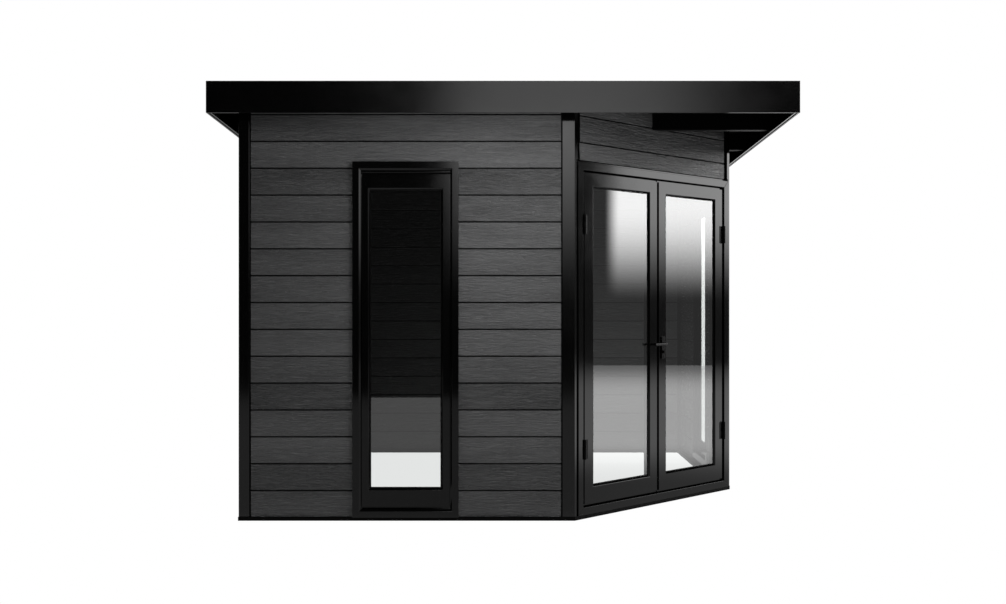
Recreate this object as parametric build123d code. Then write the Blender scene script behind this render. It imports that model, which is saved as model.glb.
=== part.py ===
from build123d import *
import math
import os

# A five-sided garden house: a square plan with its front right corner cut off at
# 45 degrees, where a double door opens outwards. Walls of level boards stand on a
# ring of base rails between dark metal posts, and a flat roof with a deep metal
# fascia overhangs them all round and falls a little to the back.
#
# Frame: origin on the ground under the middle of the square, +X to the right as
# seen from the front, +Y to the back, +Z up. Millimetres.

# Plan of the walls
SIDE = 2950.0
HALF = SIDE / 2
CUT = 1075.0
WALL_RUN = SIDE - CUT
DOOR_RUN = CUT * math.sqrt(2)

# Base rails and walls, as depths measured inwards from the outer face of the plan
RAIL_HIGH = 22.0
RAIL_PROUD = 3.0
RAIL_DEEP = 64.0
LIP_HIGH = 26.0
LIP_THICK = 4.0
WALL_OUT = 6.0
WALL_IN = 34.0

# Posts
POST = 60.0
DOOR_POST_FRONT = 68.0

# Roof: the underside of the deck over the front wall, and its fall to the back
ROOF_HALF = 1620.0
FASCIA_TOP = 2426.0
FASCIA_HIGH = 174.0
FASCIA_SHEET = 3.0
FASCIA_HEM = 9.0
FASCIA_HEM_DROP = 5.0
FASCIA_FOOT = 22.0
FASCIA_CAP = 60.0
FASCIA_OVERRUN = 80.0
FALL = 0.035
DECK_UNDER = 2376.0

# Roof beams, level across the house
BEAM_DEEP = 102.0
BEAM_WIDE = 56.0
BEAM_FIRST = 510.0
BEAM_STEP = 718.0
BEAM_COUNT = 4
BEAM_SIDE_GAP = 2.0

# Glazing: panes let into their sash behind a sloping bead
PANE = 8.0
PANE_BITE = 9.0
BEAD_DEEP = 12.0

# Windows: a fixed frame, chamfered round its opening, and a sash behind a drip bar
WINDOW_FROM_DOOR = 647.0
WINDOW_WIDE = 590.0
WINDOW_TOP = 2001.0
WINDOW_FACE = 36.0
WINDOW_FOOT = 35.0
WINDOW_HEAD = 38.0
WINDOW_CHAMFER = 10.0
WINDOW_PROUD = 28.0
DRIP_BAR = (1937.0, 1950.0)
DRIP_BAR_SET_BACK = 11.0
SASH_GAP = 5.0
SASH_HEIGHTS = (82.0, 1919.0)
SASH_SET_BACK = 11.0
SASH_THICK = 28.0
SASH_STILE = 36.0
SASH_TOP = 65.0
SASH_FOOT = 92.0
SASH_BEAD = 11.0
SASH_LAP = 9.0

# Door frame
DOOR_MARGIN = 25.0
DOOR_TOP = 2004.0
DOOR_FACE = 42.0
DOOR_PROUD = 7.0
DOOR_INNER = 59.0
DOOR_STOP = 20.0
DOOR_STOP_FROM = 46.0
OVER_DOOR = 2018.0
OVER_DOOR_FROM = 20.0
OVER_DOOR_END = 52.0
POST_GROOVE = 9.0
POST_GROOVE_DEEP = 12.0

# Door leaves, flush with the posts, their front edges stepped back from the gaps
LEAF_GAP = 8.0
MEETING_GAP = 11.0
LEAF_THICK = 40.0
LEAF_STEP = 9.0
MEETING_STEP = 4.0
LEAF_STEP_DEEP = 12.0
HINGE_STILE = 83.0
LOCK_STILE = 73.0
LEAF_TOP = 75.0
LEAF_FOOT = 100.0
LEAF_BEAD = 9.0

# Hinges: a plate on the leaf's face, a plate on the frame's edge, three knuckles
HINGE_HIGH = 108.0
HINGE_RADIUS = 8.0
HINGE_STAND = 12.0
HINGE_PLATE = 34.0
HINGE_PLATE_THICK = 3.0
HINGE_BRIDGE = 8.0
HINGE_EDGE_DEEP = 30.0
HINGE_HEIGHTS = (390.0, 1655.0)
HINGE_PLAY = 1.0

# Handle on the right leaf
BACKSET = 41.0
PLATE_WIDE = 34.0
PLATE_HIGH = 132.0
PLATE_THICK = 8.0
PLATE_MIDDLE = 943.0
LEVER_HEIGHT = 964.0
LEVER_LONG = 118.0
LEVER_STAND = 37.0
LEVER_BEND = 12.0
LEVER_HALF_THICK = 5.0
LEVER_HALF_HIGH = 8.0
ROSE_RADIUS = 12.0
ROSE_THICK = 5.0
SPINDLE_RADIUS = 6.0
SPINDLE_PLAY = 1.0
KEY_HEIGHT = 918.0
KEY_RADIUS = 9.0
KEY_PROUD = 10.0
KNOB_RADIUS = 18.0
KNOB_STAND = 24.0

# Each side of the house as its own flat frame: x along the wall from the left as
# seen from outside, y inwards from the outer face, z up
FRONT = Location((-HALF, -HALF, 0))
DOOR = Location((HALF - CUT, -HALF, 0), (0, 0, 45))
RIGHT = Location((HALF, CUT - HALF, 0), (0, 0, 90))
BACK = Location((HALF, HALF, 0), (0, 0, 180))
LEFT = Location((-HALF, HALF, 0), (0, 0, 270))

parts = {}


def block(x, y, z):
    """A plain block between the low and the high value given along each axis."""
    size = Box(x[1] - x[0], y[1] - y[0], z[1] - z[0])
    return Pos(sum(x) / 2, sum(y) / 2, sum(z) / 2) * size


def prism(corners, low, high):
    """A plan outline raised from one height to another."""
    outline = Pos(0, 0, low) * Polygon(*corners, align=None)
    return extrude(outline, high - low, dir=(0, 0, 1))


def drawn(corners, depth):
    """An outline on a wall's elevation, at a depth."""
    plane = Plane(origin=(0, depth, 0), x_dir=(1, 0, 0), z_dir=(0, -1, 0))
    return plane * Polygon(*corners, align=None)


def elevation(corners, near, far):
    """An outline drawn on a wall's elevation, given depth from near to far."""
    return extrude(drawn(corners, near), far - near, dir=(0, 1, 0))


def grown(span, by):
    """A low and a high value, moved apart."""
    return (span[0] - by, span[1] + by)


def rectangle(x, z):
    """The corners of a rectangle in order round it."""
    return [(x[0], z[0]), (x[1], z[0]), (x[1], z[1]), (x[0], z[1])]


def funnel(x, z, near, deep, slope):
    """A cut as wide as the opening at its far end, and wider by a slope at its mouth."""
    mouth = drawn(rectangle(grown(x, slope), grown(z, slope)), near)
    throat = drawn(rectangle(x, z), near + deep)
    return loft([mouth, throat])


def section(corners, left, right):
    """A side view outline, drawn in y and z, run from left to right."""
    plane = Plane(origin=(left, 0, 0), x_dir=(0, 1, 0), z_dir=(1, 0, 0))
    return extrude(plane * Polygon(*corners, align=None), right - left, dir=(1, 0, 0))


def plan(inset):
    """The five plan corners, moved inwards: front left, door left, door right, back."""
    slant = inset * (math.sqrt(2) - 1)
    edge = HALF - inset
    return [
        (-edge, -edge),
        (HALF - CUT - slant, -edge),
        (edge, CUT - HALF + slant),
        (edge, edge),
        (-edge, edge),
    ]


def fall(y):
    """How far the roof has dropped at a distance back from its front edge."""
    return FALL * (y + ROOF_HALF)


def deck_under(y):
    """Height of the deck's underside, which the walls and posts reach."""
    return DECK_UNDER - FALL * (y + HALF)


def beam_fronts():
    """Where the front face of each roof beam lies."""
    return [-HALF + BEAM_FIRST + number * BEAM_STEP for number in range(BEAM_COUNT)]


def beam(front, play=0.0):
    """One roof beam from fascia to fascia, or the notch for it with some play."""
    reach = ROOF_HALF - FASCIA_SHEET
    foot = deck_under(front) - BEAM_DEEP
    low = front - play
    high = front + BEAM_WIDE + play
    outline = [(low, foot), (high, foot), (high, deck_under(high)), (low, deck_under(low))]
    return section(outline, -reach, reach)


def above_walls():
    """All that the walls and posts give way to: the deck and the roof beams."""
    tall = FASCIA_TOP + FASCIA_HIGH
    outline = [
        (-ROOF_HALF, deck_under(-ROOF_HALF)),
        (ROOF_HALF, deck_under(ROOF_HALF)),
        (ROOF_HALF, tall),
        (-ROOF_HALF, tall),
    ]
    solid = section(outline, -ROOF_HALF, ROOF_HALF)
    for front in beam_fronts():
        solid += beam(front, BEAM_SIDE_GAP)
    return solid


ROOF_SPACE = above_walls()


def base_rails():
    """Five rails with mitred corners, each with a low lip behind its wall."""
    outer = plan(-RAIL_PROUD)
    inner = plan(RAIL_DEEP)
    names = ["front", "door", "right", "back", "left"]
    for number, name in enumerate(names):
        following = (number + 1) % len(names)
        corners = [outer[number], outer[following], inner[following], inner[number]]
        parts["base_rail_" + name] = prism(corners, 0, RAIL_HIGH)
    lips = [
        ("front", FRONT, POST, WALL_RUN - DOOR_POST_FRONT),
        ("right", RIGHT, DOOR_POST_FRONT, WALL_RUN - POST),
        ("back", BACK, POST, SIDE - POST),
        ("left", LEFT, POST, SIDE - POST),
    ]
    for name, side, start, end in lips:
        for first, last in lip_runs(name, start, end):
            lip = block((first, last), (WALL_IN, WALL_IN + LIP_THICK), (RAIL_HIGH, LIP_HIGH))
            parts["base_rail_" + name] += side * lip


def lip_runs(name, start, end):
    """The stretches of a rail's lip, which stops for a window frame."""
    if name in ("front", "right"):
        left = window_left(name)
        return [(start, left), (left + WINDOW_WIDE, end)]
    return [(start, end)]


def window_left(name):
    """Where a window frame starts along its wall."""
    if name == "right":
        return WINDOW_FROM_DOOR
    return WALL_RUN - WINDOW_FROM_DOOR - WINDOW_WIDE


def trimmed(solid):
    """A wall or post cut off under the roof."""
    return solid - ROOF_SPACE


def corner_posts():
    """Square posts at the three right-angled corners."""
    near = -HALF
    far = HALF
    squares = {
        "post_front_left": (near, near),
        "post_back_left": (near, far - POST),
        "post_back_right": (far - POST, far - POST),
    }
    for name, (x, y) in squares.items():
        post = block((x, x + POST), (y, y + POST), (RAIL_HIGH, FASCIA_TOP))
        parts[name] = trimmed(post)


def door_posts():
    """Posts folded round the two blunt corners, cut back for the door frame and the wall."""
    left, corner = plan(0)[:2]
    inner = plan(POST)[1]
    along = math.sqrt(0.5)
    tip = (corner[0] + POST * along, corner[1] + POST * along)
    heel = (tip[0] - POST * along, tip[1] + POST * along)
    start = corner[0] - DOOR_POST_FRONT
    outline = [(start, corner[1]), corner, tip, heel, inner, (start, inner[1])]
    groove = (DOOR_MARGIN - POST_GROOVE, DOOR_MARGIN)
    beside = (DOOR_MARGIN, POST)
    post = prism(outline, RAIL_HIGH, FASCIA_TOP)
    post -= DOOR * block(groove, (-POST, POST_GROOVE_DEEP), (RAIL_HIGH, OVER_DOOR))
    post -= DOOR * block(beside, (-POST, DOOR_INNER), (RAIL_HIGH, OVER_DOOR))
    post -= DOOR * block(beside, (-POST, WALL_IN), (OVER_DOOR, FASCIA_TOP))
    parts["post_front_door"] = trimmed(post)
    other = post.mirror(Plane(origin=(0, 0, 0), z_dir=(1, 1, 0)))
    parts["post_right_door"] = trimmed(other)


def wall(side, start, end, low):
    """A stretch of boarded wall from a height up to the roof."""
    return trimmed(side * block((start, end), (WALL_OUT, WALL_IN), (low, FASCIA_TOP)))


def walls():
    """Boarded walls, split beside and over the windows and the door."""
    left = window_left("front")
    right = left + WINDOW_WIDE
    parts["front_wall_left"] = wall(FRONT, POST, left, RAIL_HIGH)
    parts["front_wall_right"] = wall(FRONT, right, WALL_RUN - DOOR_POST_FRONT, RAIL_HIGH)
    parts["front_wall_over_window"] = wall(FRONT, left, right, WINDOW_TOP)
    left = window_left("right")
    right = left + WINDOW_WIDE
    parts["right_wall_front"] = wall(RIGHT, DOOR_POST_FRONT, left, RAIL_HIGH)
    parts["right_wall_back"] = wall(RIGHT, right, WALL_RUN - POST, RAIL_HIGH)
    parts["right_wall_over_window"] = wall(RIGHT, left, right, WINDOW_TOP)
    parts["back_wall"] = wall(BACK, POST, SIDE - POST, RAIL_HIGH)
    parts["left_wall"] = wall(LEFT, POST, SIDE - POST, RAIL_HIGH)
    parts["over_door_wall"] = wall(DOOR, OVER_DOOR_END, DOOR_RUN - OVER_DOOR_END, OVER_DOOR)


def framed_pane(x, z, face, thick, stiles, top, foot, bead):
    """A sash or leaf beaded round its glass opening, and the pane that fills it."""
    light_x = (x[0] + stiles[0] + bead, x[1] - stiles[1] - bead)
    light_z = (z[0] + foot + bead, z[1] - top - bead)
    pane_y = (face + BEAD_DEEP, face + BEAD_DEEP + PANE)
    pane = block(grown(light_x, PANE_BITE), pane_y, grown(light_z, PANE_BITE))
    border = block(x, (face, face + thick), z)
    border -= funnel(light_x, light_z, face, BEAD_DEEP, bead)
    border -= block(light_x, (face, face + thick), light_z)
    return border - pane, pane


def window(name, side):
    """A fixed frame with a drip bar under its head, and a closed sash with its pane."""
    left = window_left(name)
    right = left + WINDOW_WIDE
    chamfer = WINDOW_CHAMFER
    inner_x = grown((left, right), -WINDOW_FACE - chamfer)
    inner_z = (RAIL_HIGH + WINDOW_FOOT + chamfer, WINDOW_TOP - WINDOW_HEAD - chamfer)
    face = -WINDOW_PROUD
    sash_face = face + SASH_SET_BACK
    sash_back = sash_face + SASH_THICK
    sash_x = grown(inner_x, -SASH_GAP)
    stiles = (SASH_STILE, SASH_STILE)
    sash, pane = framed_pane(
        sash_x, SASH_HEIGHTS, sash_face, SASH_THICK, stiles, SASH_TOP, SASH_FOOT, SASH_BEAD
    )
    frame = block((left, right), (face, WALL_IN), (RAIL_HIGH, WINDOW_TOP))
    frame -= funnel(inner_x, inner_z, face, chamfer, chamfer)
    frame -= block(inner_x, (face, sash_back), inner_z)
    frame -= block(grown(sash_x, -SASH_LAP), (face, WALL_IN), grown(SASH_HEIGHTS, -SASH_LAP))
    frame += drip_bar(inner_x, inner_z[1], face + DRIP_BAR_SET_BACK, sash_back)
    parts[name + "_window_frame"] = side * frame
    parts[name + "_window_sash"] = side * sash
    parts[name + "_window_glass"] = side * pane


def drip_bar(x, head, face, back):
    """A round-nosed bar right across the window frame, just under its head."""
    radius = (DRIP_BAR[1] - DRIP_BAR[0]) / 2
    nose = Pos(sum(x) / 2, face + radius, sum(DRIP_BAR) / 2) * Rot(0, 90, 0)
    bar = block(x, (face + radius, back), (DRIP_BAR[0], head))
    return bar + nose * Cylinder(radius, x[1] - x[0])


def door_frame():
    """Four mitred members with a stop behind the leaves."""
    outer_x = (DOOR_MARGIN, DOOR_RUN - DOOR_MARGIN)
    outer_z = (RAIL_HIGH, DOOR_TOP)
    inner_x = grown(outer_x, -DOOR_FACE)
    inner_z = grown(outer_z, -DOOR_FACE)
    stop_x = grown(inner_x, -DOOR_STOP)
    stop_z = grown(inner_z, -DOOR_STOP)
    ring = block(outer_x, (-DOOR_PROUD, DOOR_INNER), outer_z)
    ring -= block(inner_x, (-DOOR_PROUD, DOOR_STOP_FROM), inner_z)
    ring -= block(stop_x, (-DOOR_PROUD, DOOR_INNER), stop_z)
    out = rectangle(outer_x, outer_z)
    stop = rectangle(stop_x, stop_z)
    members = ["door_threshold", "door_jamb_right", "door_head", "door_jamb_left"]
    for number, name in enumerate(members):
        following = (number + 1) % len(members)
        corners = [out[number], out[following], stop[following], stop[number]]
        parts[name] = DOOR * (ring & elevation(corners, -DOOR_PROUD, DOOR_INNER))
    filler = block(outer_x, (OVER_DOOR_FROM, DOOR_INNER), (DOOR_TOP, OVER_DOOR))
    parts["door_head"] += DOOR * filler


def leaf_span(name):
    """Where a leaf lies along the door side."""
    first = DOOR_MARGIN + DOOR_FACE + LEAF_GAP
    last = DOOR_RUN - first
    middle = DOOR_RUN / 2
    if name == "left":
        return first, middle - MEETING_GAP / 2
    return middle + MEETING_GAP / 2, last


def leaves():
    """Two glazed leaves, the right one bored for the handle's spindle."""
    low = RAIL_HIGH + DOOR_FACE + LEAF_GAP
    high = DOOR_TOP - DOOR_FACE - LEAF_GAP
    for name in ("left", "right"):
        x = leaf_span(name)
        stiles = (HINGE_STILE, LOCK_STILE)
        steps = (LEAF_STEP, MEETING_STEP)
        if name == "right":
            stiles = stiles[::-1]
            steps = steps[::-1]
        leaf, pane = framed_pane(
            x, (low, high), 0, LEAF_THICK, stiles, LEAF_TOP, LEAF_FOOT, LEAF_BEAD
        )
        face_x = (x[0] + steps[0], x[1] - steps[1])
        face_z = (low + LEAF_STEP, high - LEAF_STEP)
        rim = block(x, (0, LEAF_STEP_DEEP), (low, high))
        leaf -= rim - block(face_x, (0, LEAF_STEP_DEEP), face_z)
        if name == "right":
            leaf -= spindle_bore()
        parts[name + "_door_leaf"] = DOOR * leaf
        parts[name + "_door_glass"] = DOOR * pane


def rod(x, z, y, radius):
    """A round bar through the door, from one depth to another."""
    middle = (y[0] + y[1]) / 2
    return Pos(x, middle, z) * Rot(90, 0, 0) * Cylinder(radius, y[1] - y[0])


def lever_x():
    """Where the lever's spindle goes through the right leaf."""
    return leaf_span("right")[0] + BACKSET


def spindle_bore():
    """The bore for the spindle through the leaf and its handle plates."""
    depth = (-PLATE_THICK, LEAF_THICK + PLATE_THICK)
    return rod(lever_x(), LEVER_HEIGHT, depth, SPINDLE_RADIUS + SPINDLE_PLAY)


def hinge_x(name):
    """Where a leaf's hinge line lies: midway between the faces of frame and leaf."""
    middle_of_gap = DOOR_MARGIN + DOOR_FACE + (LEAF_GAP + LEAF_STEP) / 2
    if name == "left":
        return middle_of_gap
    return DOOR_RUN - middle_of_gap


def hinges():
    """Two hinges a leaf, the middle knuckle on the frame, the outer two on the leaf."""
    third = HINGE_HIGH / 3
    for name in ("left", "right"):
        x = hinge_x(name)
        towards_leaf = 1 if name == "left" else -1
        fixed = Part()
        moving = Part()
        for height in HINGE_HEIGHTS:
            low = height - HINGE_HIGH / 2
            high = height + HINGE_HIGH / 2
            fixed += frame_knuckle(x, towards_leaf, grown((low + third, high - third), -HINGE_PLAY))
            moving += leaf_plate(x, towards_leaf, (low, high))
            for ends in ((low, low + third), (high - third, high)):
                moving += leaf_knuckle(x, towards_leaf, ends)
        parts[name + "_hinges_frame_side"] = DOOR * fixed
        parts[name + "_hinges_leaf_side"] = DOOR * moving


def knuckle(x, z):
    """A length of a hinge's barrel."""
    return Pos(x, -HINGE_STAND, sum(z) / 2) * Cylinder(HINGE_RADIUS, z[1] - z[0])


def frame_knuckle(x, towards_leaf, z):
    """The middle knuckle, bridged to a plate on the inner edge of the frame."""
    edge = x - towards_leaf * (LEAF_GAP + LEAF_STEP) / 2
    plate_face = edge + towards_leaf * HINGE_PLATE_THICK
    front = -HINGE_STAND - HINGE_BRIDGE / 2
    plate = block(sorted((edge, plate_face)), (front, HINGE_EDGE_DEEP), z)
    bridge = block(sorted((edge, x)), (front, front + HINGE_BRIDGE), z)
    return knuckle(x, z) + plate + bridge


def leaf_plate(x, towards_leaf, z):
    """The plate on the leaf's face."""
    return block(sorted((x, x + towards_leaf * HINGE_PLATE)), (-HINGE_PLATE_THICK, 0), z)


def leaf_knuckle(x, towards_leaf, z):
    """An outer knuckle, bridged to the leaf's plate."""
    bridge = block(sorted((x, x + towards_leaf * HINGE_RADIUS)), (-HINGE_STAND, 0), z)
    return knuckle(x, z) + bridge


def handle():
    """Plates on both faces of the right leaf, a lever outside and a knob inside."""
    x = lever_x()
    span_x = grown((x, x), PLATE_WIDE / 2)
    span_z = grown((PLATE_MIDDLE, PLATE_MIDDLE), PLATE_HIGH / 2)
    plates = block(span_x, (-PLATE_THICK, 0), span_z)
    plates += block(span_x, (LEAF_THICK, LEAF_THICK + PLATE_THICK), span_z)
    plates += rod(x, KEY_HEIGHT, (-PLATE_THICK - KEY_PROUD, -PLATE_THICK), KEY_RADIUS)
    parts["handle_plates"] = DOOR * (plates - spindle_bore())
    rose_back = -PLATE_THICK - SPINDLE_PLAY
    start = Vector(x, rose_back, LEVER_HEIGHT)
    corner = Vector(x, -LEVER_STAND, LEVER_HEIGHT)
    end = Vector(x - LEVER_LONG, -LEVER_STAND, LEVER_HEIGHT)
    path = FilletPolyline(start, corner, end, radius=LEVER_BEND)
    profile = Plane(origin=start, x_dir=(1, 0, 0), z_dir=(0, -1, 0))
    lever = sweep(profile * Ellipse(LEVER_HALF_THICK, LEVER_HALF_HIGH), path=path)
    lever += rod(x, LEVER_HEIGHT, (rose_back - ROSE_THICK, rose_back), ROSE_RADIUS)
    knob_middle = LEAF_THICK + PLATE_THICK + KNOB_STAND
    lever += rod(x, LEVER_HEIGHT, (rose_back, knob_middle), SPINDLE_RADIUS)
    lever += Pos(x, knob_middle, LEVER_HEIGHT) * Sphere(KNOB_RADIUS)
    parts["door_lever"] = DOOR * lever


def roof_deck():
    """The flat sheet that carries the roof, falling to the back."""
    edge = ROOF_HALF - FASCIA_SHEET
    top = FASCIA_TOP - FASCIA_SHEET
    outline = [
        (-edge, deck_under(-edge)),
        (edge, deck_under(edge)),
        (edge, top - fall(edge)),
        (-edge, top - fall(-edge)),
    ]
    parts["roof_deck"] = section(outline, -edge, edge)


def roof_beams():
    """Level beams under the deck, one node."""
    group = Part()
    for front in beam_fronts():
        group += beam(front)
    parts["roof_beams"] = group


def fascia_outline():
    """The folded sheet as distances in from the outer face and down from the top."""
    sheet = FASCIA_SHEET
    foot = FASCIA_HIGH - FASCIA_HEM_DROP
    return [
        (0, 0),
        (FASCIA_CAP, 0),
        (FASCIA_CAP, sheet),
        (sheet, sheet),
        (sheet, foot - sheet),
        (FASCIA_FOOT, foot - sheet),
        (FASCIA_FOOT, foot),
        (FASCIA_HEM, foot),
        (FASCIA_HEM, FASCIA_HIGH),
        (0, FASCIA_HIGH),
    ]


def fascias():
    """Four folded sheets round the roof, mitred where they meet."""
    edge = ROOF_HALF
    quarter = [(-edge, -edge), (edge, -edge), (0, 0)]
    mitre = prism(quarter, 0, FASCIA_TOP + FASCIA_HIGH)
    for name, sign, turn in (("front", -1, 0), ("back", 1, 180)):
        corners = []
        for inset, drop in fascia_outline():
            y = sign * (edge - inset)
            corners.append((y, FASCIA_TOP - drop - fall(y)))
        sheet = section(corners, -edge, edge)
        parts["fascia_" + name] = sheet & (Rot(0, 0, turn) * mitre)
    for name, sign, turn in (("right", 1, 90), ("left", -1, 270)):
        corners = []
        for inset, drop in fascia_outline():
            corners.append((sign * (edge - inset), FASCIA_TOP - drop))
        origin = (0, -edge - FASCIA_OVERRUN, FALL * FASCIA_OVERRUN)
        start = Plane(origin=origin, x_dir=(1, 0, 0), z_dir=(0, -1, 0))
        profile = start * Polygon(*corners, align=None)
        sheet = extrude(profile, 2 * (edge + FASCIA_OVERRUN), dir=(0, 1, -FALL))
        parts["fascia_" + name] = sheet & (Rot(0, 0, turn) * mitre)


base_rails()
corner_posts()
door_posts()
walls()
window("front", FRONT)
window("right", RIGHT)
door_frame()
leaves()
hinges()
handle()
roof_deck()
roof_beams()
fascias()

os.makedirs("parts", exist_ok=True)
for node, solid in parts.items():
    export_step(solid, "parts/" + node + ".step")
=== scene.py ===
import math

import bmesh
import bpy
from mathutils import Matrix, Vector

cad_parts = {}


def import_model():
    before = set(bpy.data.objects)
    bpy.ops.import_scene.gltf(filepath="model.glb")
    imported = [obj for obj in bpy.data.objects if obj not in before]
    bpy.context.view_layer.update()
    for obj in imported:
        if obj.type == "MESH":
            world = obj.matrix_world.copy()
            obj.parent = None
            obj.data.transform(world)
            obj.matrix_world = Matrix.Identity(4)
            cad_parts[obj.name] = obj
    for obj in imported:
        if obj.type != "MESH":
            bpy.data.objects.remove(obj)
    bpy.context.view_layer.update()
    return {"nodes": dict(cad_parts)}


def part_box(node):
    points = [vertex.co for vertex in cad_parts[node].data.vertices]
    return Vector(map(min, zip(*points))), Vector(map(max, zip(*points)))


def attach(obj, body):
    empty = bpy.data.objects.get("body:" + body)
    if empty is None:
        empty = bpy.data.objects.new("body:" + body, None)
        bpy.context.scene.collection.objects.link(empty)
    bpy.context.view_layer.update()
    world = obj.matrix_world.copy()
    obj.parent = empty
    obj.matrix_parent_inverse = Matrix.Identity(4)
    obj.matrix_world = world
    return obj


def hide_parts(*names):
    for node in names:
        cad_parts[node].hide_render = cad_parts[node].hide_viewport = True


# The garden house dressed for its picture: boards, metal finishes, glass, seals and
# fittings. Metres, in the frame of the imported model: +X right, +Y back, +Z up.

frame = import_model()

# The camera stands in front of the house, level, a little over a metre up
CAMERA_AT = (0.0, -7.85, 1.22)
PICTURE_WIDE = 1006
FOCAL_PIXELS = 1143
SENSOR = 36.0

# Plan of the walls and their thickness, as in the construction
SIDE = 2.950
HALF = SIDE / 2
CUT = 1.075
WALL_RUN = SIDE - CUT
DOOR_RUN = CUT * math.sqrt(2)
WALL_OUT = 0.006
WALL_IN = 0.034
POST = 0.060
DOOR_POST = 0.068

# Boards: the joints between them, how deep in a joint its painted shade starts, and the shadow gap
# beside each post
BOARD = 0.150
BOARD_LEAST = BOARD / 4
FIRST_JOINT = 0.017
JOINT_MOUTH = 0.0052
JOINT_SLOT = 0.0070
JOINT_CHAMFER = 0.0018
JOINT_DEEP = 0.011
JOINT_OVERRUN = 0.002
JOINT_SHADE_FROM = 0.0025
END_GAP = 0.008
END_GAP_DEEP = 0.014
GAP_OVERRUN = 0.003
CUT_OVERRUN = 0.010

# Windows: their place from the door's corner, and from the opening's side to the glass
WINDOW_FROM_DOOR = 0.647
WINDOW_WIDE = 0.590
WINDOW_SIDE = 0.098
WINDOW_LIGHT = (WINDOW_FROM_DOOR + WINDOW_SIDE, WINDOW_FROM_DOOR + WINDOW_WIDE - WINDOW_SIDE)
WINDOW_LIGHT_HEIGHTS = (0.185, 1.843)
WINDOW_PANE = (-0.005, 0.003)

# Door frame and leaves: the frame's opening, the edges where the leaves meet, and the
# clear glass. Its distance at the hinge side, the foot and the head is measured from the
# opening, and at the lock side from the meeting edge.
FRAME_SIDE = 0.067
FRAME_OPENING = (FRAME_SIDE, DOOR_RUN - FRAME_SIDE)
FRAME_FOOT = 0.064
FRAME_TOP = 1.962
LEAF_THICK = 0.040
MEETING_GAP = 0.011
LEFT_EDGE = (DOOR_RUN - MEETING_GAP) / 2
RIGHT_EDGE = (DOOR_RUN + MEETING_GAP) / 2
HINGE_SIDE = 0.100
LOCK_SIDE = 0.082
LEAF_FOOT = 0.117
LEAF_HEAD = 0.092
DOOR_LIGHTS = {
    "left": (FRAME_OPENING[0] + HINGE_SIDE, LEFT_EDGE - LOCK_SIDE),
    "right": (RIGHT_EDGE + LOCK_SIDE, FRAME_OPENING[1] - HINGE_SIDE),
}
DOOR_LIGHT_HEIGHTS = (FRAME_FOOT + LEAF_FOOT, FRAME_TOP - LEAF_HEAD)
DOOR_PANE = (0.012, 0.020)

# Rubber: rings round the panes, one against the frame's stop, and a lip on each leaf. The
# lips overlap at different depths, the right one in front because that leaf opens first.
SEAL_WIDE = 0.0035
SEAL_THICK = 0.0025
STOP_SEAL = (0.0412, 0.0458)
STOP_SEAL_WIDE = 0.013
LIP_SHORT = 0.011
LIP_HEIGHTS = (FRAME_FOOT + LIP_SHORT, FRAME_TOP - LIP_SHORT)
LEFT_LIP_WIDE = 0.00596
RIGHT_LIP_WIDE = 0.00594
LIPS = {
    "left": ((LEFT_EDGE, LEFT_EDGE + LEFT_LIP_WIDE), (0.0205, 0.0240)),
    "right": ((RIGHT_EDGE - RIGHT_LIP_WIDE, RIGHT_EDGE), (0.0160, 0.0195)),
}

# Hinges: their axes and which way the leaf lies, then the barrels and the plates
HINGE_IN = 0.0085
HINGE_AXES = {"left": (FRAME_OPENING[0] + HINGE_IN, 1), "right": (FRAME_OPENING[1] - HINGE_IN, -1)}
HINGE_MIDDLES = (0.390, 1.655)
HINGE_HIGH = 0.108
HINGE_STAND = 0.012
HINGE_PLATE_THICK = 0.003
HINGE_SCREW_FROM_AXIS = 0.022
HINGE_SCREW_FROM_END = 0.016

# Handle plates and the lock
BACKSET = 0.041
HANDLE_MIDDLE = RIGHT_EDGE + BACKSET
PLATE_THICK = 0.008
PLATE_FACES = (-PLATE_THICK, LEAF_THICK + PLATE_THICK)
PLATE_MIDDLE = 0.943
PLATE_SCREW_OFF = 0.054
KEY_HEIGHT = 0.918
KEY_PROUD = 0.010
KEY_FACE = -PLATE_THICK - KEY_PROUD
KEY_SLOT_WIDE = 0.0012
KEY_SLOT_HIGH = 0.0080
KEY_SLOT_PROUD = 0.0013

# Turned fittings, each as radii and heights above the face that it sits on
CAP_OUTLINE = ((0.0066, -0.0006), (0.0066, 0.0008), (0.0052, 0.0020), (0.0026, 0.0026))
KEY_OUTLINE = ((0.0066, -0.0004), (0.0066, 0.0006), (0.0060, 0.0010))
SCREW_OUTLINE = (
    (0.0040, -0.0004),
    (0.0040, 0.0003),
    (0.0030, 0.0010),
    (0.0018, 0.0012),
    (0.0015, 0.0003),
)
TURNED_STEPS = 24

# Meshes: points nearer than this are one, the angles that count as flat or sharp, how far
# up a face looks that counts as a top, and the rounding and shading of the edges
MERGE_WITHIN = 0.00002
FLAT_WITHIN = math.radians(1)
SHARP_OVER = math.radians(35)
FACES_UP = 0.9
BEVEL_STEPS = 2
LARGE_FACE_WEIGHT = 100

# The span that most of a noise falls in
NOISE_SPAN = (0.3, 0.7)

# Board grain: how far each pattern is drawn out along the board, and its scale across it
ROW_SHIFT = 40.0
WAVE_DRAWN = 0.16
WAVE_SCALE = 26.0
WAVE_HIGH = 0.022
CLOUD_SCALE = 9.0
RIDGE_DRAWN = 0.10
RIDGE_SCALE = 120.0
RIDGE_ROUGH = 0.6
FINE_DRAWN = 0.05
FINE_SCALE = 620.0

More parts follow.
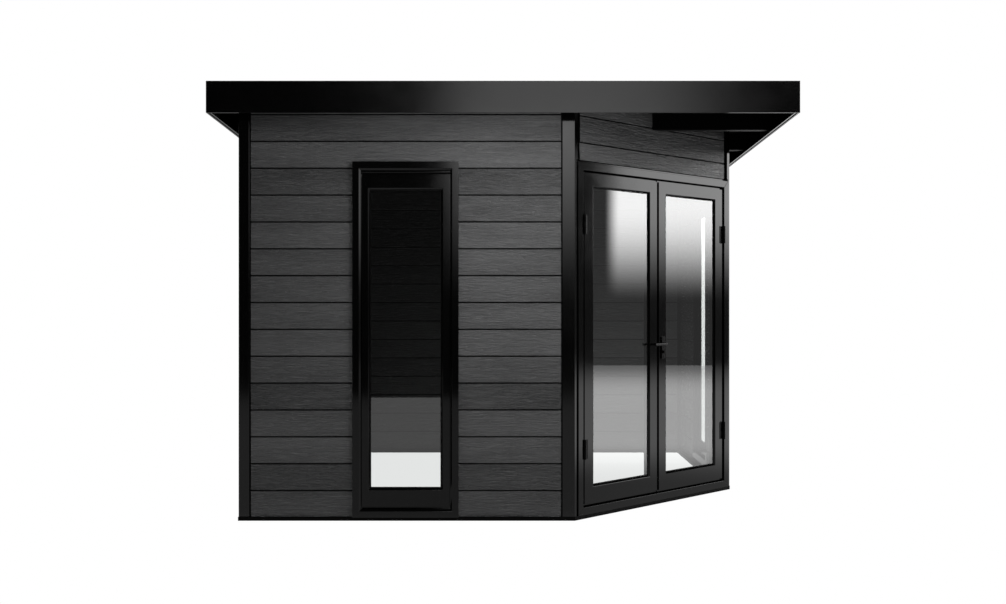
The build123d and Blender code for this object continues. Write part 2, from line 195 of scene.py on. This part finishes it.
# Board colour: the shares of each pattern in the tone, and the tones that are darkest and palest
RIDGES_IN_TONE = 0.45
CLOUD_IN_TONE = 0.35
ROW_IN_TONE = 0.28
TONE_SPAN = (0.34, 0.76)
BOARD_DARK = (0.028, 0.0282, 0.0286, 1)
BOARD_PALE = (0.089, 0.0895, 0.0905, 1)
BOARD_ROUGH = (0.28, 0.21)
BOARD_SHINE = 0.5
FINE_IN_RELIEF = 0.25
GRAIN_DEEP = 0.0070
GRAIN_STRENGTH = 0.8

# Metal coating: its fine peel, and the faint smears in its colour and gloss
PEEL_SCALE = 900.0
PEEL_DEEP = 0.00002
PEEL_STRENGTH = 0.5
SMEAR_SCALE = 7.0
COLOUR_SPREAD = 0.12
ROUGH_SPREAD = 0.012
BLACK = (0.0012, 0.0012, 0.0012)
DEEP_BLACK = (0.0010, 0.0010, 0.0010)
CHARCOAL = (0.014, 0.014, 0.0145)

# Matt finishes
MOTTLE_SCALE = 60.0
MATT_ROUGH = 0.7

# How strongly the panes mirror, and how much of a lamp's light they keep out
PANE_BENDING = 1.5
PANE_MIRROR = 6.3
PANE_MIRROR_MOST = 0.31
PANE_SHADE = 0.92
PANE_TINT = (0.965, 0.975, 0.97, 1)

# The studio. Each change below is an axis, a range of it, and the strengths at its two
# ends. An axis is a part of the direction for the sky, and of the place for the floor.
X, Y, Z = range(3)
BEHIND_A_PANE = 0.5
FLOOR_CORNERS = ((-14, -9.7), (16, -9.7), (16, 14), (-14, 14))
FLOOR_COLOUR = (0.8, 0.8, 0.8, 1)
FLOOR_INDOORS = 1.2
FLOOR_INDOORS_SHARE = 0.85
FLOOR_RISING = (X, 1.6, 4.0, 0.4, 1.35)
FLOOR_FADING = (X, 9.0, 16.0, 1.0, 0.3)
FLOOR_BEHIND = (Y, -1.9, -1.3, 0.0, 1.0)
FLOOR_IN_FRONT = 0.28
SOFT_SKY = (Z, -0.2, 0.9, 0.18, 0.17)
WHITE_THROUGH_PANES = 1.6
SKY_RISING = (Z, 0.0, 0.085, 0.0, 3.5)
SKY_BEHIND = (Y, 0.088, 0.102, 0.0, 1.0)
SKY_BEFORE = (Y, -0.09, -0.04, 0.4, 0.0)
SKY_LEAST = 0.08
SKY_TO_RIGHT = (X, 0.55, 0.85, 0.0, 1.0)
GLOW = (
    (Z, 0.0, 0.19, 0.0, 2.9),
    (Z, 0.15, 0.167, 1.0, 0.55),
    (Z, 0.23, 0.30, 1.0, 3.2),
    (X, -0.0525, -0.040, 0.0, 1.0),
    (X, 0.10, 0.22, 1.0, 0.0),
    (Y, -0.8, -0.5, 1.0, 0.0),
)
BACK_GLOW = (Y, 0.3, 0.8, 0.01, 0.3)

# Lamps: where each stands, what it points at, its size and its watts
LAMPS = {
    "key": ((0.1, -2.6, 1.9), (0.1, -1.4, 1.3), 1.1, 20),
    "right": ((4.6, 2.2, 2.6), (1.4, 0.6, 1.1), 1.6, 80),
    "back": ((-3.2, 4.8, 3.0), (-0.4, 1.4, 1.1), 2.0, 130),
    "left": ((-4.8, -0.6, 2.6), (-1.4, 0.2, 1.1), 1.8, 80),
    "indoors": ((1.0, 0.8, 0.03), (1.0, 1.2, 0.4), 0.7, 5),
}

HOUSE = "house"


def side_frame(x, y, turn):
    """A wall's own frame: x along it, y inwards from the outer face, z up."""
    return Matrix.Translation((x, y, 0)) @ Matrix.Rotation(math.radians(turn), 4, "Z")


FRONT = side_frame(-HALF, -HALF, 0)
DOOR = side_frame(HALF - CUT, -HALF, 45)
RIGHT = side_frame(HALF, CUT - HALF, 90)
BACK = side_frame(HALF, HALF, 180)
LEFT = side_frame(-HALF, HALF, 270)


class Nodes:
    """A node tree that is grown one node a call."""

    def __init__(self, tree):
        self.tree = tree
        tree.nodes.clear()

    def add(self, kind, inputs=None, **settings):
        """A new node with its settings, and its inputs set or linked."""
        node = self.tree.nodes.new(kind)
        for key, value in settings.items():
            setattr(node, key, value)
        for key, value in (inputs or {}).items():
            if isinstance(value, bpy.types.NodeSocket):
                self.tree.links.new(value, node.inputs[key])
            else:
                node.inputs[key].default_value = value
        return node

    def math(self, operation, first, second=0.0):
        """The result of one sum."""
        return self.add("ShaderNodeMath", {0: first, 1: second}, operation=operation).outputs[0]

    def between(self, value, start, end, low, high, smooth=True):
        """A value carried from one range to another, held at the ends."""
        inputs = {"Value": value, "From Min": start, "From Max": end, "To Min": low, "To Max": high}
        kind = "SMOOTHSTEP" if smooth else "LINEAR"
        return self.add("ShaderNodeMapRange", inputs, interpolation_type=kind).outputs[0]

    def change(self, axes, step):
        """A strength that changes smoothly over a range of one axis."""
        axis, start, end, low, high = step
        return self.between(axes[axis], start, end, low, high)

    def split(self, vector):
        """The three parts of a vector."""
        return self.add("ShaderNodeSeparateXYZ", {0: vector}).outputs

    def joined(self, x, y, z):
        """A vector from its three parts."""
        return self.add("ShaderNodeCombineXYZ", {0: x, 1: y, 2: z}).outputs[0]

    def mix_colour(self, share, one, other):
        """A blend of two colours."""
        inputs = {0: share, 6: one, 7: other}
        return self.add("ShaderNodeMix", inputs, data_type="RGBA").outputs[2]

    def noise(self, vector, scale, detail=2.0, rough=0.5):
        """Soft noise about a half."""
        inputs = {"Vector": vector, "Scale": scale, "Detail": detail, "Roughness": rough}
        return self.add("ShaderNodeTexNoise", inputs).outputs[0]

    def bump(self, height, deep, strength):
        """A normal that leans with a height."""
        inputs = {"Height": height, "Distance": deep, "Strength": strength}
        return self.add("ShaderNodeBump", inputs).outputs[0]

    def emission(self, strength):
        """White light of a strength."""
        inputs = {"Color": (1, 1, 1, 1), "Strength": strength}
        return self.add("ShaderNodeEmission", inputs).outputs[0]

    def background(self, strength):
        """A white sky of a strength."""
        inputs = {"Color": (1, 1, 1, 1), "Strength": strength}
        return self.add("ShaderNodeBackground", inputs).outputs[0]

    def mix_shader(self, share, one, other):
        """A blend of two shaders."""
        return self.add("ShaderNodeMixShader", {0: share, 1: one, 2: other}).outputs[0]

    def surface(self, shader):
        """Makes a shader the material's surface."""
        self.add("ShaderNodeOutputMaterial", {"Surface": shader})

    def solid_surface(self, inputs):
        """Makes the material a solid one."""
        self.surface(self.add("ShaderNodeBsdfPrincipled", inputs).outputs[0])


def new_material(name):
    """A material and its empty node tree."""
    material = bpy.data.materials.new(name)
    material.use_nodes = True
    return material, Nodes(material.node_tree)


def board_material():
    """Dark grey wood-plastic boards with a brushed, embossed grain."""
    material, n = new_material("composite_boards")
    wall = n.split(n.add("ShaderNodeUVMap", uv_map="wall").outputs[0])
    row = n.math("FLOOR", n.math("DIVIDE", n.math("SUBTRACT", wall[1], FIRST_JOINT), BOARD))
    chance = n.add("ShaderNodeTexWhiteNoise", {"W": row}, noise_dimensions="1D").outputs[0]
    # Each board has its own stretch of the patterns, so that no two are alike
    offset = n.math("MULTIPLY", chance, ROW_SHIFT)
    along = n.math("ADD", wall[0], offset)
    wave_at = n.joined(n.math("MULTIPLY", along, WAVE_DRAWN), wall[1], offset)
    wave = n.noise(wave_at, WAVE_SCALE)
    height = n.math("ADD", wall[1], n.math("MULTIPLY", wave, WAVE_HIGH))
    ridge_at = n.joined(n.math("MULTIPLY", along, RIDGE_DRAWN), height, offset)
    ridges = n.noise(ridge_at, RIDGE_SCALE, detail=3.0, rough=RIDGE_ROUGH)
    fine_at = n.joined(n.math("MULTIPLY", along, FINE_DRAWN), wall[1], offset)
    fine = n.noise(fine_at, FINE_SCALE)
    cloud = n.noise(wave_at, CLOUD_SCALE)
    tone = n.math("MULTIPLY", ridges, RIDGES_IN_TONE)
    tone = n.math("ADD", tone, n.math("MULTIPLY", cloud, CLOUD_IN_TONE))
    tone = n.math("ADD", tone, n.math("MULTIPLY", chance, ROW_IN_TONE))
    relief = n.math("ADD", ridges, n.math("MULTIPLY", fine, FINE_IN_RELIEF))
    n.solid_surface({
        "Base Color": n.mix_colour(n.between(tone, *TONE_SPAN, 0.0, 1.0, False), BOARD_DARK, BOARD_PALE),
        "Roughness": n.between(ridges, *NOISE_SPAN, *BOARD_ROUGH),
        "Specular IOR Level": BOARD_SHINE,
        "Normal": n.bump(relief, GRAIN_DEEP, GRAIN_STRENGTH),
    })
    return material


def coated_metal(name, tone, rough, shine):
    """Powder-coated metal: an even dark colour, a fine peel and faint uneven gloss."""
    material, n = new_material(name)
    at = n.add("ShaderNodeTexCoord").outputs["Object"]
    peel = n.noise(at, PEEL_SCALE)
    smear = n.noise(at, SMEAR_SCALE, detail=3.0)
    dark = tuple(part * (1 - COLOUR_SPREAD) for part in tone) + (1,)
    pale = tuple(part * (1 + COLOUR_SPREAD) for part in tone) + (1,)
    n.solid_surface({
        "Base Color": n.mix_colour(smear, dark, pale),
        "Roughness": n.between(smear, *NOISE_SPAN, rough - ROUGH_SPREAD, rough + ROUGH_SPREAD),
        "Specular IOR Level": shine,
        "Normal": n.bump(peel, PEEL_DEEP, PEEL_STRENGTH),
    })
    return material


def dull_material(name, dark, pale, sheen):
    """A matt dark finish with a faint mottle, for rubber, and for the painted shade in the depth of the
    joints.
    """
    material, n = new_material(name)
    at = n.add("ShaderNodeTexCoord").outputs["Object"]
    mottle = n.noise(at, MOTTLE_SCALE)
    n.solid_surface({
        "Base Color": n.mix_colour(mottle, (dark, dark, dark, 1), (pale, pale, pale, 1)),
        "Roughness": MATT_ROUGH,
        "Specular IOR Level": sheen,
    })
    return material


def glass_material():
    """Coated clear glazing: a mirror that grows towards the edge of view, else see-through."""
    material, n = new_material("clear_glazing")
    fresnel = n.add("ShaderNodeFresnel", {"IOR": PANE_BENDING}).outputs[0]
    outside = n.math("SUBTRACT", 1.0, n.add("ShaderNodeNewGeometry").outputs["Backfacing"])
    share = n.math("MINIMUM", n.math("MULTIPLY", fresnel, PANE_MIRROR), PANE_MIRROR_MOST)
    share = n.math("MULTIPLY", share, outside)
    path = n.add("ShaderNodeLightPath").outputs
    lighting = n.math("MAXIMUM", path["Is Shadow Ray"], path["Is Diffuse Ray"])
    share = n.math("MAXIMUM", share, n.math("MULTIPLY", lighting, PANE_SHADE))
    mirror = n.add("ShaderNodeBsdfGlossy", {"Roughness": 0.0}).outputs[0]
    clear = n.add("ShaderNodeBsdfTransparent", {"Color": PANE_TINT}).outputs[0]
    n.surface(n.mix_shader(share, clear, mirror))
    return material


# The metals differ in colour, in roughness and in how strongly they shine
BOARDS = board_material()
POST_METAL = coated_metal("post_coat", BLACK, 0.1, 0.6)
FRAME_METAL = coated_metal("frame_coat", BLACK, 0.07, 0.45)
FASCIA_METAL = coated_metal("fascia_coat", DEEP_BLACK, 0.13, 0.48)
RAIL_METAL = coated_metal("rail_coat", DEEP_BLACK, 0.45, 0.08)
BEAM_METAL = coated_metal("beam_coat", BLACK, 0.5, 0.1)
ROOF_SHEET = coated_metal("roof_covering", CHARCOAL, 0.7, 0.3)
FITTING_METAL = coated_metal("fitting_coat", DEEP_BLACK, 0.25, 0.14)
RUBBER = dull_material("seal_rubber", 0.0012, 0.0024, 0.15)
# Near-black painted shade for the depth of the joints between the boards
PAINTED_JOINT_SHADE = dull_material("painted_joint_shade", 0.0015, 0.0035, 0.1)
GLASS = glass_material()


def object_from(name, mesh, material, body):
    """A finished mesh as a piece that rides on a body."""
    made = bpy.data.objects.new(name, mesh)
    bpy.context.scene.collection.objects.link(made)
    mesh.materials.clear()
    mesh.materials.append(material)
    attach(made, body)
    return made


def finished(bm, name):
    """A mesh from a working one, its faces turned outwards."""
    bmesh.ops.recalc_face_normals(bm, faces=bm.faces)
    mesh = bpy.data.meshes.new(name)
    bm.to_mesh(mesh)
    bm.free()
    return mesh


def prism_into(bm, place, section, start, end):
    """A closed bar along a wall, from its section in depth and height."""
    near = [bm.verts.new(place @ Vector((start, depth, height))) for depth, height in section]
    far = [bm.verts.new(place @ Vector((end, depth, height))) for depth, height in section]
    bm.faces.new(near)
    bm.faces.new(list(reversed(far)))
    count = len(section)
    for i in range(count):
        following = (i + 1) % count
        bm.faces.new([near[following], near[i], far[i], far[following]])


def block_into(bm, place, x, y, z):
    """A plain block in a wall's own frame."""
    section = [(y[0], z[0]), (y[1], z[0]), (y[1], z[1]), (y[0], z[1])]
    prism_into(bm, place, section, x[0], x[1])


def ring_into(bm, place, x, z, y, wide):
    """A rectangular ring in a wall's own frame, its outer edges at x and z."""
    block_into(bm, place, (x[0], x[0] + wide), y, z)
    block_into(bm, place, (x[1] - wide, x[1]), y, z)
    block_into(bm, place, (x[0] + wide, x[1] - wide), y, (z[0], z[0] + wide))
    block_into(bm, place, (x[0] + wide, x[1] - wide), y, (z[1] - wide, z[1]))


def turned_into(bm, at, outline):
    """A turned form, from radii and heights along the z axis of a placing matrix."""
    rings = []
    for radius, height in outline:
        ring = []
        for step in range(TURNED_STEPS):
            angle = 2 * math.pi * step / TURNED_STEPS
            point = Vector((radius * math.cos(angle), radius * math.sin(angle), height))
            ring.append(bm.verts.new(at @ point))
        rings.append(ring)
    bm.faces.new(rings[0])
    bm.faces.new(rings[-1])
    for lower, upper in zip(rings, rings[1:]):
        for step in range(TURNED_STEPS):
            following = (step + 1) % TURNED_STEPS
            bm.faces.new([lower[step], lower[following], upper[following], upper[step]])


def facing(place, x, y, z, turn):
    """A placing matrix at a point of a wall: turned 90 it faces out, -90 in and 180 down."""
    return place @ Matrix.Translation((x, y, z)) @ Matrix.Rotation(math.radians(turn), 4, "X")


def weld(target):
    """Joins the points of an object that lie on each other."""
    target.modifiers.new("weld", "WELD").merge_threshold = MERGE_WITHIN


def cut_away(target, cuts):
    """Adds a boolean cut to an object, and returns the cutter."""
    cutter = bpy.data.objects.new("cutter", cuts)
    bpy.context.scene.collection.objects.link(cutter)
    cut = target.modifiers.new("cut", "BOOLEAN")
    cut.operation = "DIFFERENCE"
    cut.solver = "EXACT"
    cut.object = cutter
    return cutter


def evaluated_mesh(source):
    """A copy of an object's mesh with its modifiers applied."""
    graph = bpy.context.evaluated_depsgraph_get()
    return bpy.data.meshes.new_from_object(source.evaluated_get(graph))


def slots_cutter(place, gaps, low, high):
    """The upright gaps beside the posts, as one mesh to cut with."""
    slots = bmesh.new()
    depth = (WALL_OUT - CUT_OVERRUN, WALL_OUT + END_GAP_DEEP)
    for gap in gaps:
        block_into(slots, place, gap, depth, (low - CUT_OVERRUN, high + CUT_OVERRUN))
    return finished(slots, "slots")


def joint_section(face, inwards, height):
    """The cut between two boards, chamfered at the mouth, as depth and height."""
    outline = [
        (-JOINT_OVERRUN, JOINT_MOUTH + JOINT_OVERRUN),
        (0.0, JOINT_MOUTH),
        (JOINT_CHAMFER, JOINT_SLOT / 2),
        (JOINT_DEEP, JOINT_SLOT / 2),
    ]
    upper = [(face + inwards * depth, height + rise) for depth, rise in outline]
    lower = [(face + inwards * depth, height - rise) for depth, rise in reversed(outline)]
    return upper + lower


def joints_cutter(place, start, end, low, high):
    """The joints between the boards on both faces of a wall, as one mesh to cut with."""
    joints = bmesh.new()
    number = 0
    while FIRST_JOINT + number * BOARD < high:
        height = FIRST_JOINT + number * BOARD
        if height > low + BOARD_LEAST:
            prism_into(joints, place, joint_section(WALL_OUT, 1, height), start, end)
            prism_into(joints, place, joint_section(WALL_IN, -1, height), start, end)
        number += 1
    return finished(joints, "joints")


def boarded(node, place, gaps):
    """A stretch of wall cut into boards, inside and out, in place of the plain slab."""
    slab = bpy.data.objects.new("slab", frame["nodes"][node].data.copy())
    bpy.context.scene.collection.objects.link(slab)
    weld(slab)
    low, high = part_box(node)
    inverse = place.inverted()
    ends = [(inverse @ v.co).x for v in slab.data.vertices]
    start = min(ends) - CUT_OVERRUN
    end = max(ends) + CUT_OVERRUN
    cutters = []
    # The upright gaps are cut before the joints: the other way round leaves open edges
    if gaps:
        cutters.append(cut_away(slab, slots_cutter(place, gaps, low.z, high.z)))
    cutters.append(cut_away(slab, joints_cutter(place, start, end, low.z, high.z)))
    mesh = evaluated_mesh(slab)
    bpy.data.objects.remove(slab)
    for cutter in cutters:
        bpy.data.objects.remove(cutter)
    made = object_from(node + "_boards", mesh, BOARDS, HOUSE)
    # The second material is painted shade for the depth of the joints
    mesh.materials.append(PAINTED_JOINT_SHADE)
    lay_out_boards(mesh, inverse)
    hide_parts(node)


def lay_out_boards(mesh, inverse):
    """Maps a wall's mesh by its length and height, and paints shade into the depth of its joints."""
    layer = mesh.uv_layers.new(name="wall")
    for loop in mesh.loops:
        at = inverse @ mesh.vertices[loop.vertex_index].co
        layer.data[loop.index].uv = (at.x, at.z)
    for polygon in mesh.polygons:
        depth = (inverse @ polygon.center).y
        within = min(depth - WALL_OUT, WALL_IN - depth)
        polygon.use_smooth = False
        # Faces deep inside a joint take the painted shade
        polygon.material_index = int(within > JOINT_SHADE_FROM)


def gap_after(post):
    """The upright gap beyond a post at the start of a wall."""
    return (post - GAP_OVERRUN, post + END_GAP)


def gap_before(post, run):
    """The upright gap short of a post at the end of a wall."""
    return (run - post - END_GAP, run - post + GAP_OVERRUN)


def walls():
    """Every stretch of wall, with a shadow gap beside each post but not over the door."""
    full_width = [gap_after(POST), gap_before(POST, SIDE)]
    boarded("front_wall_left", FRONT, [gap_after(POST)])
    boarded("front_wall_right", FRONT, [gap_before(DOOR_POST, WALL_RUN)])
    boarded("front_wall_over_window", FRONT, [])
    boarded("right_wall_front", RIGHT, [gap_after(DOOR_POST)])
    boarded("right_wall_back", RIGHT, [gap_before(POST, WALL_RUN)])
    boarded("right_wall_over_window", RIGHT, [])
    boarded("back_wall", BACK, full_width)
    boarded("left_wall", LEFT, full_width)
    boarded("over_door_wall", DOOR, [])


def softened(node, material, width):
    """A construction node with its own finish and slightly rounded edges."""
    target = frame["nodes"][node]
    target.data.materials.clear()
    target.data.materials.append(material)
    weld(target)
    flat = target.modifiers.new("flat", "DECIMATE")
    flat.decimate_type = "DISSOLVE"
    flat.angle_limit = FLAT_WITHIN
    bevel = target.modifiers.new("bevel", "BEVEL")
    bevel.width = width
    bevel.segments = BEVEL_STEPS
    bevel.limit_method = "ANGLE"
    bevel.angle_limit = SHARP_OVER
    normals = target.modifiers.new("normals", "WEIGHTED_NORMAL")
    normals.mode = "FACE_AREA"
    normals.weight = LARGE_FACE_WEIGHT


def metalwork():
    """The metal nodes, each by the start of its name, with a finish and an edge's width."""
    finishes = {
        "base_rail": (RAIL_METAL, 0.0012),
        "post": (POST_METAL, 0.0025),
        "door_jamb": (FRAME_METAL, 0.0015),
        "door_head": (FRAME_METAL, 0.0015),
        "door_threshold": (FRAME_METAL, 0.0015),
        "front_window": (FRAME_METAL, 0.0012),
        "right_window": (FRAME_METAL, 0.0012),
        "left_door_leaf": (FRAME_METAL, 0.0015),
        "right_door_leaf": (FRAME_METAL, 0.0015),
        "left_hinges": (FITTING_METAL, 0.0008),
        "right_hinges": (FITTING_METAL, 0.0008),
        "handle": (FITTING_METAL, 0.0012),
        "door_lever": (FITTING_METAL, 0.0008),
        "roof_deck": (BEAM_METAL, 0.0015),
        "roof_beams": (BEAM_METAL, 0.002),
        "fascia": (FASCIA_METAL, 0.0008),
    }
    for node in frame["nodes"]:
        if node.endswith("glass") or "wall" in node:
            continue
        for start, (material, width) in finishes.items():
            if node.startswith(start):
                softened(node, material, width)


def roof_covering():
    """A charcoal covering on top of the deck, which stays dark underneath."""
    deck = frame["nodes"]["roof_deck"].data
    deck.materials.append(ROOF_SHEET)
    for polygon in deck.polygons:
        polygon.material_index = int(polygon.normal.z > FACES_UP)


def panes():
    """Glass, and black seals round each pane on both its faces."""
    for node, target in frame["nodes"].items():
        if node.endswith("glass"):
            target.data.materials.clear()
            target.data.materials.append(GLASS)
    for name, along in DOOR_LIGHTS.items():
        seal_pane(name + "_door_seal", DOOR, along, DOOR_LIGHT_HEIGHTS, DOOR_PANE, name + "_door")
    mirrored = (WALL_RUN - WINDOW_LIGHT[1], WALL_RUN - WINDOW_LIGHT[0])
    for name, place, along in (("front", FRONT, mirrored), ("right", RIGHT, WINDOW_LIGHT)):
        seal_pane(name + "_window_seal", place, along, WINDOW_LIGHT_HEIGHTS, WINDOW_PANE, HOUSE)


def seal_pane(name, place, x, z, y, body):
    """A narrow rubber ring on the outer and the inner face of a pane."""
    bm = bmesh.new()
    ring_into(bm, place, x, z, (y[0] - SEAL_THICK, y[0]), SEAL_WIDE)
    ring_into(bm, place, x, z, (y[1], y[1] + SEAL_THICK), SEAL_WIDE)
    object_from(name, finished(bm, name), RUBBER, body)


def door_seals():
    """A rubber against the frame's stop, and overlapping lips where the leaves meet."""
    bm = bmesh.new()
    ring_into(bm, DOOR, FRAME_OPENING, (FRAME_FOOT, FRAME_TOP), STOP_SEAL, STOP_SEAL_WIDE)
    object_from("stop_seal", finished(bm, "stop_seal"), RUBBER, HOUSE)
    for name, (along, depth) in LIPS.items():
        bm = bmesh.new()
        block_into(bm, DOOR, along, depth, LIP_HEIGHTS)
        label = name + "_meeting_seal"
        object_from(label, finished(bm, label), RUBBER, name + "_door")


def fitting(name, bm, material, body):
    """A small fitting with its finish, riding on a body."""
    made = object_from(name, finished(bm, name), material, body)


def hinge_details():
    """Pin caps on the barrels and screws in the plates of each leaf's hinges."""
    for name, (axis, towards_leaf) in HINGE_AXES.items():
        caps = bmesh.new()
        screws = bmesh.new()
        screw_x = axis + towards_leaf * HINGE_SCREW_FROM_AXIS
        for middle in HINGE_MIDDLES:
            low = middle - HINGE_HIGH / 2
            high = middle + HINGE_HIGH / 2
            turned_into(caps, facing(DOOR, axis, -HINGE_STAND, high, 0), CAP_OUTLINE)
            turned_into(caps, facing(DOOR, axis, -HINGE_STAND, low, 180), CAP_OUTLINE)
            for height in (low + HINGE_SCREW_FROM_END, middle, high - HINGE_SCREW_FROM_END):
                at = facing(DOOR, screw_x, -HINGE_PLATE_THICK, height, 90)
                turned_into(screws, at, SCREW_OUTLINE)
        fitting(name + "_hinge_caps", caps, FITTING_METAL, name + "_door")
        fitting(name + "_hinge_screws", screws, FITTING_METAL, name + "_door")


def handle_details():
    """Screws in both handle plates, the plug of the lock, and a dark sliver on the plug as painted shade
    of its keyway.
    """
    screws = bmesh.new()
    for face, turn in zip(PLATE_FACES, (90, -90)):
        for height in (PLATE_MIDDLE - PLATE_SCREW_OFF, PLATE_MIDDLE + PLATE_SCREW_OFF):
            turned_into(screws, facing(DOOR, HANDLE_MIDDLE, face, height, turn), SCREW_OUTLINE)
    fitting("handle_screws", screws, FITTING_METAL, "right_door")
    plug = bmesh.new()
    turned_into(plug, facing(DOOR, HANDLE_MIDDLE, KEY_FACE, KEY_HEIGHT, 90), KEY_OUTLINE)
    fitting("lock_plug", plug, FITTING_METAL, "right_door")
    # A thin black sliver proud of the plug's face stands in for the keyway: painted shade
    slot = bmesh.new()
    x = (HANDLE_MIDDLE - KEY_SLOT_WIDE / 2, HANDLE_MIDDLE + KEY_SLOT_WIDE / 2)
    z = (KEY_HEIGHT - KEY_SLOT_HIGH / 2, KEY_HEIGHT + KEY_SLOT_HIGH / 2)
    block_into(slot, DOOR, x, (KEY_FACE - KEY_SLOT_PROUD, KEY_FACE), z)
    fitting("lock_keyway_shade", slot, RUBBER, "right_door")


def floor_in_gloss(n, at):
    """How bright the floor is to anything glossy, by where it lies."""
    right = n.math("MULTIPLY", n.change(at, FLOOR_RISING), n.change(at, FLOOR_FADING))
    share = n.change(at, FLOOR_BEHIND)
    front = n.math("MULTIPLY", n.math("SUBTRACT", 1.0, share), FLOOR_IN_FRONT)
    return n.math("ADD", front, n.math("MULTIPLY", right, share))


def stage():
    """A pale floor: white to the eye, graded to gloss, and lit where it is seen indoors."""
    bm = bmesh.new()
    bm.faces.new([bm.verts.new((x, y, 0)) for x, y in FLOOR_CORNERS])
    floor = bpy.data.objects.new("floor", finished(bm, "floor"))
    bpy.context.scene.collection.objects.link(floor)
    material, n = new_material("pale_floor")
    path = n.add("ShaderNodeLightPath").outputs
    at = n.split(n.add("ShaderNodeNewGeometry").outputs["Position"])
    plain = n.add("ShaderNodeBsdfDiffuse", {"Color": FLOOR_COLOUR}).outputs[0]
    indoors = n.mix_shader(FLOOR_INDOORS_SHARE, plain, n.emission(FLOOR_INDOORS))
    through = n.math("GREATER_THAN", path["Transparent Depth"], BEHIND_A_PANE)
    seen = n.mix_shader(through, n.emission(1.0), indoors)
    shown = n.mix_shader(path["Is Camera Ray"], plain, seen)
    mirrored = n.emission(floor_in_gloss(n, at))
    n.surface(n.mix_shader(path["Is Glossy Ray"], shown, mirrored))
    floor.data.materials.append(material)


def sky_in_gloss(n, to):
    """How bright the surroundings are to anything glossy, by direction."""
    # Towards the right: a pale sky over a dark horizon, hidden in a band at the middle
    sides = n.math("ADD", n.change(to, SKY_BEHIND), n.change(to, SKY_BEFORE))
    sky = n.math("MULTIPLY", n.change(to, SKY_RISING), sides)
    sky = n.math("MULTIPLY", n.math("ADD", sky, SKY_LEAST), n.change(to, SKY_TO_RIGHT))
    # Towards the front: dark, but for a tall soft light a little to the right
    glow = n.change(to, GLOW[0])
    for step in GLOW[1:]:
        glow = n.math("MULTIPLY", glow, n.change(to, step))
    # Towards the back: a faint even glow
    back = n.change(to, BACK_GLOW)
    return n.math("ADD", sky, n.math("ADD", glow, back))


def world():
    """White to the eye, dim to the walls, and a graded studio to anything glossy."""
    made = bpy.data.worlds.new("studio")
    bpy.context.scene.world = made
    made.use_nodes = True
    n = Nodes(made.node_tree)
    path = n.add("ShaderNodeLightPath").outputs
    to = n.split(n.add("ShaderNodeTexCoord").outputs["Generated"])
    soft = n.background(n.change(to, SOFT_SKY))
    gloss = n.background(sky_in_gloss(n, to))
    brightness = n.between(path["Transparent Depth"], 0.0, 1.0, 1.0, WHITE_THROUGH_PANES, False)
    white = n.background(brightness)
    lit = n.mix_shader(path["Is Glossy Ray"], soft, gloss)
    whole = n.mix_shader(path["Is Camera Ray"], lit, white)
    n.add("ShaderNodeOutputWorld", {"Surface": whole})


def lamp(name, at, towards, size, power):
    """A square soft lamp that points at a place and leaves no highlight."""
    data = bpy.data.lights.new(name, "AREA")
    data.size = size
    data.energy = power
    made = bpy.data.objects.new(name, data)
    made.location = at
    direction = Vector(towards) - Vector(at)
    made.rotation_euler = direction.to_track_quat("-Z", "Y").to_euler()
    bpy.context.scene.collection.objects.link(made)
    made.visible_glossy = False
    made.visible_camera = False


def lamps():
    """A weak key lamp close in front, one for each other side, and a low one indoors."""
    for name, settings in LAMPS.items():
        lamp(name, *settings)


def camera():
    """The camera, level and square to the front wall."""
    data = bpy.data.cameras.new("camera")
    data.sensor_width = SENSOR
    data.lens = FOCAL_PIXELS * SENSOR / PICTURE_WIDE
    made = bpy.data.objects.new("camera", data)
    made.location = CAMERA_AT
    made.rotation_euler = (math.radians(90), 0, 0)
    bpy.context.scene.collection.objects.link(made)
    bpy.context.scene.camera = made


camera()
walls()
metalwork()
roof_covering()
panes()
door_seals()
hinge_details()
handle_details()
stage()
world()
lamps()

bpy.context.scene.view_settings.view_transform = "Standard"
